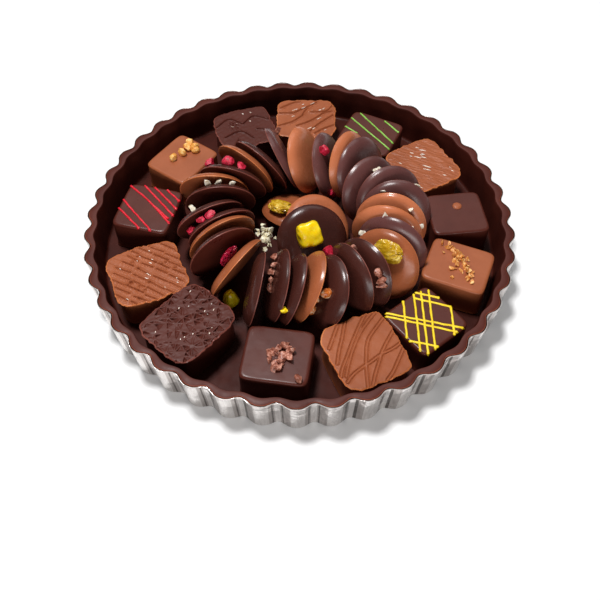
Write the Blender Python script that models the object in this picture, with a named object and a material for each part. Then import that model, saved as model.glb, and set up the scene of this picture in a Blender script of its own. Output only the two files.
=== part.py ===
"""A chocolate tart in a fluted tin, filled with pralines and a ring of leaning chocolate discs.

Metres, +Z up. The origin is the middle of the tin's underside, on the surface that it
stands on. The front is -Y. Sizes in the tables are millimetres and degrees.
"""
import math
import random

import bmesh
import bpy
from mathutils import Matrix, Vector

MM = 0.001
GAP = 0.3

# Tin
TIN_HEIGHT = 20.0
TIN_RIM_RADIUS = 100.0
TIN_BASE_RADIUS = 98.0
TIN_SHEET = 0.5
FLUTES = 43
FLUTE_DEPTH = 1.34
FLUTE_ROUNDING = 0.16
FLUTE_START = 4.47
FLUTE_POINTS = 5

# Chocolate shell
RIM_BAND = 4.0
SCALLOP_DEPTH = 0.6
SHELL_FLOOR = 2.4
MIDDLE_FLOOR = 4.0
MIDDLE_RADIUS = 50.0

# Pralines
COATED_SQUARENESS = 9.0
PLATE_THICKNESS = 2.0
PLATE_OVERHANG = 0.8

# Discs
DISC_RADIUS = 17.0
DISC_THICKNESS = 4.0
DISC_SIDES = 16

MILK = "milk"
DARK = "dark"

# name: centre x, centre y, turn, width, depth, height of the top
COATED = {
    "praline_green_lines": (37.0, 62.3, -25.6, 29, 27, 18.0),
    "praline_milk_dot": (75.6, 6.2, 6.7, 27.5, 26, 18.0),
    "praline_gold_crumbs": (72.4, -26.2, -21.8, 29.5, 26, 18.4),
    "praline_yellow_grid": (54.7, -56.1, 38.5, 27.2, 27.7, 18.0),
    "praline_cocoa_nibs": (-9.3, -73.8, -8.5, 29.5, 27.5, 18.0),
    "praline_red_lines": (-73.1, 8.8, -13.6, 28.0, 28.2, 18.6),
    "praline_nuts": (-59.7, 43.3, -35.2, 26, 28.5, 18.0),
}

# name: centre x, centre y, turn, width, depth, height of the top,
# waves along the plate's edge, their depth
PLATED = {
    "praline_relief": (-28.8, 66.1, 20.2, 31, 29.5, 18.0, 5, 0.7),
    "praline_waves": (3.5, 73.6, -1.0, 31.5, 30, 18.0, 9, 0.5),
    "praline_bark": (62.4, 38.6, 29.4, 30.5, 32.5, 18.0, 3, 0.3),
    "praline_swirl": (27.6, -71.7, 23.7, 31.5, 34, 18.1, 11, 0.4),
    "praline_crackle": (-48.2, -58.1, 48.9, 35.5, 31, 18.8, 7, 0.2),
    "praline_wood": (-69.0, -30.5, 22.4, 33.5, 32.5, 18.0, 6, 0.7),
}

# name, chocolate, bearing round the ring, distance out, turn off square, lean back
RING = (
    ("disc_front_1", DARK, 246, 46, 19, 14),
    ("disc_front_2", DARK, 257, 41, 14, 19),
    ("disc_front_3", DARK, 266, 42, 0, 22),
    ("disc_front_4", MILK, 276, 40, -10, 26),
    ("disc_front_5", DARK, 286, 44, 0, 29),
    ("disc_front_6", DARK, 302, 43, 0, 10),
    ("disc_front_7", DARK, 311, 44, -1, 16),
    ("disc_front_8", MILK, 325, 47, 2, 27),
    ("disc_right_1", DARK, 337, 46, -3, 10),
    ("disc_right_2", MILK, 346, 42, -2, 7),
    ("disc_right_3", MILK, 355, 43, -10, 16),
    ("disc_right_4", DARK, 5, 46, -7, 26),
    ("disc_right_5", DARK, 17, 45, 3, 25),
    ("disc_right_6", DARK, 29, 39, 9, 25),
    ("disc_right_7", DARK, 47, 44, 3, 24),
    ("disc_right_8", MILK, 56, 43, 3, 19),
    ("disc_back_1", DARK, 69, 38, 7, 24),
    ("disc_back_2", MILK, 87, 40, -12, 25),
    ("disc_back_3", DARK, 103, 42, 4, 23),
    ("disc_left_1", DARK, 119, 40, 17, 20),
    ("disc_left_2", MILK, 130, 42, 12, 17),
    ("disc_left_3", DARK, 145, 40, 20, 20),
    ("disc_left_4", MILK, 157, 45, 23, 19),
    ("disc_left_5", DARK, 166, 39, 19, 17),
    ("disc_left_6", DARK, 182, 42, 24, 20),
    ("disc_left_7", DARK, 192, 37, 15, 18),
    ("disc_left_8", MILK, 201, 38, 10, 14),
    ("disc_left_9", DARK, 212, 41, 0, 10),
    ("disc_left_10", MILK, 227, 41, 8, 22),
)

# name, chocolate, centre x, y, z, bearing that the top faces, tilt up of the facing
MIDDLE = (
    ("disc_middle_top", DARK, 5.9, -10.2, 16.6, -73.9, 44.9),
    ("disc_middle_low", MILK, 8.4, -1.0, 14.2, -48.6, 54.4),
    ("disc_middle_back", MILK, -1.8, 13.1, 10.1, 71.8, 69.6),
)

# disc: small pieces set in its dome, each along the disc, up the disc, and its size
CRUMBS = {
    "disc_front_2": ((-9, 8, 3.4), (-3, 9, 3.4), (-1, 5, 3.2), (3, 4, 3.4)),
    "disc_front_3": ((14, 3, 2.4),),
    "disc_front_5": ((5, 5, 3.6), (2, -3, 2.6), (4, -8, 3.6)),
    "disc_front_6": ((-13, 6, 4.4),),
    "disc_front_7": ((-7, 12, 3.2), (9, 11, 3.8), (12, 8, 4.4)),
    "disc_right_1": ((-13, 5, 3.4), (-12, 2, 2.6)),
    "disc_right_2": ((-2, 14, 3.0), (11, 9, 2.8)),
    "disc_right_3": ((8, 12, 2.4), (-14, 4, 2.6), (14, 4, 2.4)),
    "disc_right_4": ((-7, 12, 2.8),),
    "disc_right_5": ((13, 5, 2.8),),
    "disc_right_6": ((3, 10, 4.2),),
    "disc_back_1": ((-4, 13, 4.2), (-12, -7, 3.4)),
    "disc_back_3": ((13, 5, 3.8),),
    "disc_left_3": ((1, 14, 4.0), (-5, 13, 3.4), (11, 9, 4.0)),
    "disc_left_5": ((5, 14, 3.6), (0, 14, 3.2), (-7, 13, 2.8)),
    "disc_left_6": ((8, 13, 2.8),),
    "disc_left_7": ((9, 12, 3.2), (5, 14, 3.6), (13, 3, 3.6)),
}

# The heap of puffed grains by the middle discs, and its grains about the heap's middle
GRAIN_HEAP = (-15.4, -10.2, 19.0)
GRAINS = (
    (0, 0, 0),
    (1, 4, 1),
    (-3, 2, -1),
    (1, -4, -1),
    (-1, -1, 2),
    (2, 1, -3),
    (-4.5, 3.5, 0),
)

# Drizzled lines on a coated praline's top: each from one point to another
GREEN_LINES = (
    ((-13.4, -1.3), (-5.7, -3.6)),
    ((-13.0, 6.1), (13.2, -7.5)),
    ((-10.5, 11.6), (13.4, -2.4)),
    ((3.5, 11.5), (13.0, 6.5)),
)
RED_LINES = (
    ((-13.2, 11.7), (-1.1, 4.0)),
    ((-1.1, 4.0), (13.2, -7.3)),
    ((-6.5, 13.2), (13.2, -1.9)),
    ((-1.2, 13.2), (13.2, 2.7)),
    ((5.0, 13.0), (13.2, 7.4)),
    ((-13.2, 1.8), (6.2, -13.2)),
    ((-13.2, -3.7), (0.2, -13.2)),
)
YELLOW_LINES = (
    ((-1.3, 13.0), (-12.8, -1.5)),
    ((5.0, 13.0), (-12.8, -9.8)),
    ((8.8, 12.4), (-11.2, -13.0)),
    ((12.0, 10.9), (-7.1, -13.0)),
    ((12.8, -2.3), (4.3, -13.0)),
    ((-11.3, 13.0), (9.1, -13.0)),
    ((6.4, 13.0), (12.7, 4.3)),
    ((-12.8, -4.1), (-6.0, -13.0)),
)


def clear_scene():
    for item in list(bpy.data.objects):
        bpy.data.objects.remove(item, do_unlink=True)


def linear(channel):
    """One 8-bit display channel as scene-linear light."""
    value = channel / 255
    if value <= 0.04045:
        return value / 12.92
    return ((value + 0.055) / 1.055) ** 2.4


def make_material(name, colour, roughness, metallic=0.0):
    material = bpy.data.materials.new(name)
    material.use_nodes = True
    shader = material.node_tree.nodes["Principled BSDF"]
    shader.inputs["Base Color"].default_value = [linear(c) for c in colour] + [1.0]
    shader.inputs["Roughness"].default_value = roughness
    shader.inputs["Metallic"].default_value = metallic
    return material


def make_object(name, mesh, material):
    """An object for a finished bmesh, shaded smooth except at its edges."""
    data = bpy.data.meshes.new(name)
    mesh.to_mesh(data)
    mesh.free()
    data.materials.append(material)
    data.shade_smooth()
    data.set_sharp_from_angle(angle=math.radians(40))
    item = bpy.data.objects.new(name, data)
    bpy.context.scene.collection.objects.link(item)
    return item


def loft(name, loops, material):
    """One closed body: loops of equal length joined in order, the two ends filled."""
    mesh = bmesh.new()
    rings = [[mesh.verts.new(Vector(point) * MM) for point in loop] for loop in loops]
    for ring, following in zip(rings, rings[1:]):
        for index, vertex in enumerate(ring):
            after = (index + 1) % len(ring)
            mesh.faces.new((vertex, ring[after], following[after], following[index]))
    mesh.faces.new(reversed(rings[0]))
    mesh.faces.new(rings[-1])
    return make_object(name, mesh, material)


def fuse(body, extras):
    """Join the extras into the body as one solid, and remove them."""
    group = bpy.data.collections.new(body.name + "_extras")
    bpy.context.scene.collection.children.link(group)
    for extra in extras:
        bpy.context.scene.collection.objects.unlink(extra)
        group.objects.link(extra)
    union = body.modifiers.new("union", "BOOLEAN")
    union.operation = "UNION"
    union.solver = "EXACT"
    union.operand_type = "COLLECTION"
    union.collection = group
    view = bpy.context.evaluated_depsgraph_get()
    joined = bpy.data.meshes.new_from_object(body.evaluated_get(view))
    body.modifiers.clear()
    body.data = joined
    for extra in extras:
        bpy.data.objects.remove(extra, do_unlink=True)
    bpy.data.collections.remove(group)


def flute_phase(angle):
    """Where in a flute an angle lies; the flutes are pressed a little unevenly."""
    drift = 0.9 * math.sin(2 * angle) - 0.8 * math.sin(angle) - 0.4 * math.cos(angle)
    return FLUTES * angle + FLUTE_START + drift


def fluted_loop(radius, depth, height, rounding=0.0):
    """A loop round the tin: broad round lobes outward, tight valleys inward."""
    points = []
    for step in range(FLUTES * FLUTE_POINTS):
        angle = math.tau * step / (FLUTES * FLUTE_POINTS)
        phase = flute_phase(angle)
        reach = radius + depth * math.cos(phase) - rounding * math.cos(2 * phase)
        points.append((reach * math.cos(angle), reach * math.sin(angle), height))
    return points


def wall_radius(height):
    return TIN_BASE_RADIUS + (TIN_RIM_RADIUS - TIN_BASE_RADIUS) * height / TIN_HEIGHT


def wall_loop(height, inset):
    return fluted_loop(wall_radius(height) - inset, FLUTE_DEPTH, height, FLUTE_ROUNDING)


def make_tin(material):
    loops = (
        wall_loop(0, 0),
        wall_loop(TIN_HEIGHT, 0),
        wall_loop(TIN_HEIGHT, TIN_SHEET),
        wall_loop(TIN_SHEET, TIN_SHEET),
    )
    return loft("tin", loops, material)


def make_shell(material):
    """The chocolate case: fluted outside, nearly smooth inside, its floor raised in the middle."""
    outside = TIN_SHEET + GAP
    top = TIN_HEIGHT
    band_edge = TIN_RIM_RADIUS - RIM_BAND
    loops = (
        wall_loop(TIN_SHEET + GAP, outside),
        wall_loop(top, outside),
        fluted_loop(band_edge, SCALLOP_DEPTH, top),
        fluted_loop(band_edge - 2.0, 0.0, SHELL_FLOOR),
        fluted_loop(MIDDLE_RADIUS + 6.0, 0.0, SHELL_FLOOR),
        fluted_loop(MIDDLE_RADIUS, 0.0, MIDDLE_FLOOR),
    )
    return loft("shell", loops, material)


def rounded_square(width, depth, height, squareness=5.0, points=20, waves=0, wave_depth=0.0):
    """A loop round a square with soft corners, its edge waving if asked."""
    loop = []
    for step in range(points):
        angle = math.tau * (step + 0.5) / points
        across = math.copysign(abs(math.cos(angle)) ** (2 / squareness), math.cos(angle))
        along = math.copysign(abs(math.sin(angle)) ** (2 / squareness), math.sin(angle))
        ripple = 1 - wave_depth / width * (1 + math.cos(waves * angle))
        loop.append((across * width / 2 * ripple, along * depth / 2 * ripple, height))
    return loop


def stand(item, x, y, turn):
    """Set a piece upright at a place on the shell's floor."""
    place = Matrix.Translation(Vector((x, y, 0)) * MM)
    item.matrix_world = place @ Matrix.Rotation(math.radians(turn), 4, "Z")


def make_coated_praline(name, width, depth, top, material):
    """A praline dipped in chocolate: a faint foot, straight sides and a soft top edge."""
    foot = SHELL_FLOOR + GAP
    loops = (
        rounded_square(width + 0.6, depth + 0.6, foot, COATED_SQUARENESS),
        rounded_square(width - 0.4, depth - 0.4, top - 1.2, COATED_SQUARENESS),
        rounded_square(width - 1.6, depth - 1.6, top - 0.2, COATED_SQUARENESS),
        rounded_square(width - 3.4, depth - 3.4, top, COATED_SQUARENESS),
    )
    return loft(name, loops, material)


def make_plated_praline(name, width, depth, top, waves, wave_depth, material):
    """A praline with a wider textured plate lying over its body."""
    foot = SHELL_FLOOR + GAP
    under = top - PLATE_THICKNESS
    inset = 2 * (PLATE_OVERHANG + wave_depth)
    plate = {"waves": waves, "wave_depth": wave_depth, "points": 28, "squareness": 5.0}
    plain = {"points": 28, "squareness": 5.0}
    loops = (
        rounded_square(width - inset + 0.8, depth - inset + 0.8, foot, **plain),
        rounded_square(width - inset, depth - inset, under, **plain),
        rounded_square(width - 0.4, depth - 0.4, under + 0.5, **plate),
        rounded_square(width, depth, top - 0.3, **plate),
        rounded_square(width - 0.8, depth - 0.8, top, **plate),
    )
    return loft(name, loops, material)


def make_line(start, end, top, material, radius=0.6):
    """One drizzled line: a low five-sided bar half sunk in the praline's top."""
    run = Vector(end) - Vector(start)
    side = Vector((-run.y, run.x)).normalized()
    corners = [math.tau * (k + 0.25) / 5 for k in range(5)]
    profile = [(math.cos(corner), math.sin(corner)) for corner in corners]
    loops = []
    for point in (start, end):
        loop = []
        for across, up in profile:
            place = Vector(point) + side * across * radius
            loop.append((place.x, place.y, top + up * radius * 0.9))
        loops.append(loop)
    return loft("line", loops, material)


def make_lump(size, flatness, seed, material, subdivisions=1):
    """An uneven piece, such as a crumb or a dried berry, about its own middle."""
    mesh = bmesh.new()
    bmesh.ops.create_icosphere(mesh, subdivisions=subdivisions, radius=size * MM / 2)
    wobble = random.Random(seed)
    for vertex in mesh.verts:
        vertex.co *= wobble.uniform(0.82, 1.12)
        vertex.co.z *= flatness
    return make_object("lump", mesh, material)


def make_disc(name, material):
    """A poured disc: a flat underside with a crisp edge, and a domed top."""
    profile = ((1.0, 0.0), (0.98, 0.25), (0.91, 0.62), (0.65, 1.0))
    loops = []
    for reach, rise in profile:
        loop = []
        for step in range(DISC_SIDES):
            angle = math.tau * step / DISC_SIDES - math.pi / 2
            radius = DISC_RADIUS * reach
            height = DISC_THICKNESS * rise
            loop.append((radius * math.cos(angle), radius * math.sin(angle), height))
        loops.append(loop)
    return loft(name, loops, material)


def facing(bearing, tilt):
    """Axes of a disc: along it level, up it, and out of its dome."""
    side = math.radians(bearing)
    rise = math.radians(tilt)
    level = math.cos(rise)
    out = Vector((math.cos(side) * level, math.sin(side) * level, math.sin(rise)))
    along = Vector((-math.sin(side), math.cos(side), 0))
    return along, out.cross(along), out


def disc_matrix(centre, bearing, tilt):
    along, up, out = facing(bearing, tilt)
    turn = Matrix((along, up, out)).transposed().to_4x4()
    return Matrix.Translation(Vector(centre) * MM) @ turn


def ring_matrix(bearing, distance, turn, lean):
    """A disc of the ring stands on the raised floor and faces along the ring."""
    angle = math.radians(bearing)
    height = MIDDLE_FLOOR + GAP + DISC_RADIUS * math.cos(math.radians(lean))
    centre = (distance * math.cos(angle), distance * math.sin(angle), height)
    return disc_matrix(centre, bearing - 90 + turn, lean)


def dome_height(along, up):
    reach = math.hypot(along, up) / DISC_RADIUS
    if reach < 0.65:
        return DISC_THICKNESS
    return DISC_THICKNESS * (1 - 1.46 * (reach - 0.65))


def set_crumbs(disc, material):
    """Sink the disc's small pieces into its dome and join them to it."""
    lumps = []
    for seed, (along, up, size) in enumerate(CRUMBS.get(disc.name, ())):
        lump = make_lump(size, 0.8, seed, material)
        place = Vector((along, up, dome_height(along, up))) * MM
        lump.matrix_world = disc.matrix_world @ Matrix.Translation(place)
        lumps.append(lump)
    if lumps:
        bpy.context.view_layer.update()
        fuse(disc, lumps)


def make_ring(materials):
    for name, chocolate, bearing, distance, turn, lean in RING:
        disc = make_disc(name, materials[chocolate])
        disc.matrix_world = ring_matrix(bearing, distance, turn, lean)
        set_crumbs(disc, materials[chocolate])


def make_middle(materials):
    for name, chocolate, x, y, z, bearing, tilt in MIDDLE:
        disc = make_disc(name, materials[chocolate])
        disc.matrix_world = disc_matrix((x, y, z), bearing, tilt)


def put_on_disc(item, disc_name, along, up, height, turn=0.0):
    """Rest a topping on a disc's dome."""
    disc = bpy.data.objects[disc_name]
    place = Matrix.Translation(Vector((along, up, height)) * MM)
    spin = Matrix.Rotation(math.radians(turn), 4, "Z")
    item.matrix_world = disc.matrix_world @ place @ spin


def make_cube_piece(name, size, height, material, foot=0.0):
    """A diced piece of dried fruit: a box with soft, uneven corners."""
    loops = (
        rounded_square(size * 0.80, size * 0.86, foot, 3.5, 12),
        rounded_square(size * 1.04, size * 0.98, foot + height * 0.25, 3.5, 12),
        rounded_square(size * 0.96, size * 1.06, foot + height * 0.8, 3.5, 12),
        rounded_square(size * 0.74, size * 0.80, foot + height, 3.5, 12),
    )
    return loft(name, loops, material)


def make_fruit(name, length, width, height, seed, material):
    """A dried berry or raisin: a long, flattened lump."""
    item = make_lump(1.0, 1.0, seed, material, subdivisions=2)
    item.name = name
    item.data.transform(Matrix.Diagonal((length, width, height, 1.0)))
    return item


def make_heap(name, pieces, size, material):
    """A small heap of puffed grains, joined where they touch."""
    lumps = []
    for seed, place in enumerate(pieces):
        lump = make_lump(size, 0.9, seed, material)
        lump.data.transform(Matrix.Translation(Vector(place) * MM))
        lumps.append(lump)
    heap = lumps.pop(0)
    heap.name = name
    fuse(heap, lumps)
    return heap


def make_toppings(materials):
    cube = make_cube_piece("mango_cube", 10.6, 7.6, materials["mango"])
    put_on_disc(cube, "disc_middle_top", -2.3, 3.6, DISC_THICKNESS + GAP, 6)
    raisin = make_fruit("raisin_middle", 11.0, 10.6, 4.4, 3, materials["raisin"])
    put_on_disc(raisin, "disc_middle_back", 5.9, 9.2, DISC_THICKNESS + GAP + 2.0, 10)
    raisin = make_fruit("raisin_right", 13.5, 9.6, 4.4, 5, materials["raisin"])
    put_on_disc(raisin, "disc_front_8", 0.9, 9.4, DISC_THICKNESS + GAP + 2.2, 15)
    cranberry = make_fruit("cranberry", 9.0, 13.0, 4.0, 7, materials["cranberry"])
    put_on_disc(cranberry, "disc_left_10", 1.0, 6.0, DISC_THICKNESS + GAP + 1.9, 0)
    floor = MIDDLE_FLOOR + GAP
    piece = make_cube_piece("mango_piece", 7.0, 8.6, materials["mango"], floor)
    stand(piece, -31.5, -37.5, 40)
    heap = make_heap("puffed_grains", GRAINS, 5.6, materials["grain"])
    heap.location = Vector(GRAIN_HEAP) * MM


def make_coated_pralines(materials):
    lines = {
        "praline_green_lines": GREEN_LINES,
        "praline_red_lines": RED_LINES,
        "praline_yellow_grid": YELLOW_LINES,
    }
    milk = ("praline_gold_crumbs", "praline_nuts")
    for name, (x, y, turn, width, depth, top) in COATED.items():
        material = materials[MILK if name in milk else DARK]
        praline = make_coated_praline(name, width, depth, top, material)
        bars = [make_line(start, end, top, material) for start, end in lines.get(name, ())]
        if bars:
            bpy.context.view_layer.update()
            fuse(praline, bars)
        stand(praline, x, y, turn)


def make_plated_pralines(materials):
    dark = ("praline_relief", "praline_crackle")
    for name, (x, y, turn, width, depth, top, waves, wave_depth) in PLATED.items():
        material = materials[DARK if name in dark else MILK]
        praline = make_plated_praline(name, width, depth, top, waves, wave_depth, material)
        stand(praline, x, y, turn)


def main():
    clear_scene()
    materials = {
        "tin": make_material("tin_silver", (190, 182, 178), 0.3, 1.0),
        "shell": make_material("shell_chocolate", (80, 50, 45), 0.5),
        DARK: make_material("dark_chocolate", (85, 55, 50), 0.35),
        MILK: make_material("milk_chocolate", (176, 108, 80), 0.35),
        "mango": make_material("mango", (250, 205, 20), 0.4),
        "raisin": make_material("raisin", (165, 135, 40), 0.5),
        "cranberry": make_material("cranberry", (140, 20, 45), 0.4),
        "grain": make_material("grain", (225, 210, 175), 0.7),
    }
    make_tin(materials["tin"])
    make_shell(materials["shell"])
    make_coated_pralines(materials)
    make_plated_pralines(materials)
    make_ring(materials)
    make_middle(materials)
    make_toppings(materials)


main()
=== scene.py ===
"""Looks for a chocolate tart in a fluted tin, filled with pralines and leaning discs.

Sizes in the tables are millimetres and degrees; the frame itself is in metres. The places of
pralines and discs repeat the CAD part's, which were fitted to the photo and rounded.
"""

import functools
import math

import bmesh
import bpy
import numpy as np
from mathutils import Matrix, Vector
from mathutils.geometry import delaunay_2d_cdt


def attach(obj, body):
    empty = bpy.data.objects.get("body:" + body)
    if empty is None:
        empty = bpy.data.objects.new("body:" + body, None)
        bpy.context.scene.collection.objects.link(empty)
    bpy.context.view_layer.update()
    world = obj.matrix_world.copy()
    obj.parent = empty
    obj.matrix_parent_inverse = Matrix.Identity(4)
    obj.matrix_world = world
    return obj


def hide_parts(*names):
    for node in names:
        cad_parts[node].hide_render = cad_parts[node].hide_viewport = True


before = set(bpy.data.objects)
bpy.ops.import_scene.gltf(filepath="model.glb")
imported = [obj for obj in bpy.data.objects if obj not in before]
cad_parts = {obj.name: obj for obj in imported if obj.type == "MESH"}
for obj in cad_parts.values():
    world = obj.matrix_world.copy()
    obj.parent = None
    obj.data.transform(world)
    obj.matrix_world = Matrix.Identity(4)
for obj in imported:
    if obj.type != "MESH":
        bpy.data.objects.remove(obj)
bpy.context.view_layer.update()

MM = 0.001
TAU = math.tau
GAP = 0.3

TIN_HEIGHT = 20.0
TIN_RIM_RADIUS = 100.0
TIN_BASE_RADIUS = 98.0
TIN_SHEET = 0.5
FLUTES = 43
FLUTE_DEPTH = 1.34
FLUTE_ROUNDING = 0.16
FLUTE_START = 4.47
STEPS_PER_FLUTE = 24
AROUND = FLUTES * STEPS_PER_FLUTE

# The photo's camera: place in metres, tilt from straight down, lens and sensor in millimetres
CAMERA_PLACE = (0.000225, -0.2399, 0.2880)
CAMERA_TILT = 35.7125
LENS = 45.30
SENSOR = 36.0

RIM_BAND = 4.0
SCALLOP_DEPTH = 0.6
SHELL_FLOOR = 2.4
MIDDLE_FLOOR = 4.0
MIDDLE_RADIUS = 50.0

COATED_SQUARENESS = 9.0
PLATE_SQUARENESS = 5.0
SQUARE_SIDES = 240
FOOT = SHELL_FLOOR + GAP
DISC_FOOT = MIDDLE_FLOOR + GAP

DISC_RADIUS = 17.0
DISC_THICKNESS = 4.0
DISC_SIDES = 144
BIT_SCALE = 1.45

# name: centre x, centre y, turn, width, depth, height of the top, chocolate
COATED = {
    "praline_green_lines": (37.0, 62.3, -25.6, 29, 27, 18.0, "dark"),
    "praline_milk_dot": (75.6, 6.2, 6.7, 27.5, 26, 18.0, "dark"),
    "praline_gold_crumbs": (72.4, -26.2, -21.8, 29.5, 26, 18.4, "milk"),
    "praline_yellow_grid": (54.7, -56.1, 38.5, 27.2, 27.7, 18.0, "dark"),
    "praline_cocoa_nibs": (-9.3, -73.8, -8.5, 29.5, 27.5, 18.0, "dark"),
    "praline_red_lines": (-73.1, 8.8, -13.6, 28.0, 28.2, 18.6, "dark"),
    "praline_nuts": (-59.7, 43.3, -35.2, 26, 28.5, 18.0, "milk"),
}

# name: centre x, centre y, turn, width, depth, height of the top,
# waves on the edge, their depth, chocolate
PLATED = {
    "praline_relief": (-28.8, 66.1, 20.2, 31, 29.5, 18.0, 5, 0.7, "dark"),
    "praline_waves": (3.5, 73.6, -1.0, 31.5, 30, 18.0, 9, 0.5, "milk"),
    "praline_bark": (62.4, 38.6, 29.4, 30.5, 32.5, 18.0, 3, 0.3, "milk"),
    "praline_swirl": (27.6, -71.7, 23.7, 31.5, 34, 18.1, 11, 0.4, "milk"),
    "praline_crackle": (-48.2, -58.1, 48.9, 35.5, 31, 18.8, 7, 0.2, "dark"),
    "praline_wood": (-69.0, -30.5, 22.4, 33.5, 32.5, 18.0, 6, 0.7, "milk"),
}

# group: its discs as chocolate, bearing round the ring, distance out, turn off square, lean back
RING = {
    "front": (
        ("dark", 246, 46, 19, 14), ("dark", 257, 41, 14, 19), ("dark", 266, 42, 0, 22),
        ("milk", 276, 40, -10, 26), ("dark", 286, 44, 0, 29), ("dark", 302, 43, 0, 10),
        ("dark", 311, 44, -1, 16), ("milk", 325, 47, 2, 27),
    ),
    "right": (
        ("dark", 337, 46, -3, 10), ("milk", 346, 42, -2, 7), ("milk", 355, 43, -10, 16),
        ("dark", 5, 46, -7, 26), ("dark", 17, 45, 3, 25), ("dark", 29, 39, 9, 25),
        ("dark", 47, 44, 3, 24), ("milk", 56, 43, 3, 19),
    ),
    "back": (
        ("dark", 69, 38, 7, 24), ("milk", 87, 40, -12, 25), ("dark", 103, 42, 4, 23),
    ),
    "left": (
        ("dark", 119, 40, 17, 20), ("milk", 130, 42, 12, 17), ("dark", 145, 40, 20, 20),
        ("milk", 157, 45, 23, 19), ("dark", 166, 39, 19, 17), ("dark", 182, 42, 24, 20),
        ("dark", 192, 37, 15, 18), ("milk", 201, 38, 10, 14), ("dark", 212, 41, 0, 10),
        ("milk", 227, 41, 8, 22),
    ),
}

# name, chocolate, centre x, y, z, bearing that the top faces, tilt up of the facing
MIDDLE = (
    ("disc_middle_top", "dark", 5.9, -10.2, 16.6, -73.9, 44.9),
    ("disc_middle_low", "milk", 8.4, -1.0, 14.2, -48.6, 54.4),
    ("disc_middle_back", "milk", -1.8, 13.1, 10.1, 71.8, 69.6),
)

# kind: {disc: its pieces as (along it, up it, size)}
CRUMBS = {
    "nibs": {
        "front_2": ((-9, 8, 3.6), (-4, 9.5, 3.2), (-2.5, 6, 3.4), (1, 4.5, 3.6), (3.4, 2.2, 3.2)),
        "front_7": ((-7, 12, 3.2), (9, 11, 3.8), (12, 8, 4.4), (13.2, 5.4, 3.4)),
        "back_3": ((13, 5, 3.8),),
    },
    "caramel": {"front_5": ((5, 5, 3.8), (2, -3, 2.8), (4, -8, 3.8))},
    "raspberry": {
        "front_6": ((-13, 6, 4.8),),
        "back_1": ((-4, 13, 4.4), (-12, -7, 3.8)),
        "left_3": ((1, 14, 4.2), (-5, 13, 3.6), (11, 9, 4.2)),
        "left_7": ((9, 12, 3.4), (5, 14, 3.8), (13, 3, 3.8)),
    },
    "white": {
        "right_1": ((-13, 5, 3.4), (-12, 2, 2.8)),
        "right_2": ((-2, 14, 3.0), (11, 9, 2.8)),
        "right_3": ((8, 12, 2.4), (-14, 4, 2.8), (14, 4, 2.4)),
        "right_4": ((-7, 12, 2.8),),
        "right_5": ((13, 5, 2.8),),
        "right_6": ((3, 10, 4.2),),
        "left_5": ((5, 14, 3.6), (0, 14, 3.2), (-7, 13, 2.8)),
        "left_6": ((8, 13, 2.8),),
    },
    "yellow": {"front_3": ((14, 3, 2.6),)},
}

# Where the golden crumbs trail and the nuts lie, read off the photo, in its pixels
GOLD_PIXELS = ((447, 244), (453, 249), (457, 257), (462, 258), (467, 266), (468, 275), (471, 283))
NUT_PIXELS = ((190, 144), (187.5, 149), (195.5, 150), (182.5, 153.5), (173.5, 158.5))

# Drizzled lines: each through its points on the praline's top
GREEN_LINES = (
    ((-13.9, -1.2), (-5.7, -3.6)),
    ((-13.6, 6.4), (13.9, -7.8)),
    ((-10.8, 11.8), (14.0, -2.7)),
    ((3.3, 11.6), (13.6, 6.2)),
)
RED_LINES = (
    ((-13.6, 11.9), (-1.1, 4.0), (13.6, -7.5)),
    ((-1.1, 4.0), (12.2, -4.9)),
    ((-6.9, 13.6), (13.8, -2.4)),
    ((-1.5, 13.5), (13.9, 2.0)),
    ((5.0, 13.2), (13.8, 7.1)),
    ((-13.8, 2.3), (6.6, -13.8)),
    ((-13.9, -3.2), (0.8, -13.8)),
)
YELLOW_LINES = (
    ((-0.9, 13.4), (-13.2, -2.1)),
    ((5.4, 13.4), (-13.2, -10.4)),
    ((8.8, 12.4), (-11.8, -13.6)),
    ((12.0, 10.9), (-7.6, -13.6)),
    ((13.2, -1.8), (3.8, -13.6)),
    ((-11.6, 13.4), (9.6, -13.6)),
    ((-12.7, 12.3), (6.1, -13.6)),
    ((6.1, 13.4), (12.7, 4.3)),
    ((3.6, 11.6), (13.3, -2.3)),
    ((-13.3, -3.4), (-5.5, -13.6)),
)


def linear(channel):
    """One 8-bit display channel as scene-linear light."""
    value = channel / 255
    if value <= 0.04045:
        return value / 12.92
    return ((value + 0.055) / 1.055) ** 2.4


def rgb(red, green, blue):
    return (linear(red), linear(green), linear(blue), 1.0)


# Materials

def start_material(name, tones=()):
    """A new material, its nodes and shader, and its tones as scene-linear colours."""
    material = bpy.data.materials.new(name)
    material.use_nodes = True
    tree = material.node_tree
    return material, tree, tree.nodes["Principled BSDF"], [rgb(*tone) for tone in tones]


def place_of(tree, stretch=(1, 1, 1)):
    """The point's place on the object, stretched for grain that runs one way."""
    coordinates = tree.nodes.new("ShaderNodeTexCoord")
    mapping = tree.nodes.new("ShaderNodeMapping")
    mapping.inputs["Scale"].default_value = stretch
    tree.links.new(coordinates.outputs["Object"], mapping.inputs["Vector"])
    return mapping.outputs["Vector"]


def noise(tree, place, scale, detail=3.0, roughness=0.5, distortion=0.0):
    node = tree.nodes.new("ShaderNodeTexNoise")
    node.inputs["Scale"].default_value = scale
    node.inputs["Detail"].default_value = detail
    node.inputs["Roughness"].default_value = roughness
    node.inputs["Distortion"].default_value = distortion
    tree.links.new(place, node.inputs["Vector"])
    return node.outputs["Fac"]


def ramp(tree, value, stops):
    """Colours or greys along a value: (place, colour) pairs."""
    node = tree.nodes.new("ShaderNodeValToRGB")
    points = node.color_ramp.elements
    while len(points) < len(stops):
        points.new(0.5)
    for point, (at, colour) in zip(points, stops):
        point.position = at
        if isinstance(colour, (int, float)):
            colour = (colour, colour, colour, 1.0)
        point.color = colour
    tree.links.new(value, node.inputs["Fac"])
    return node.outputs["Color"]


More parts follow.
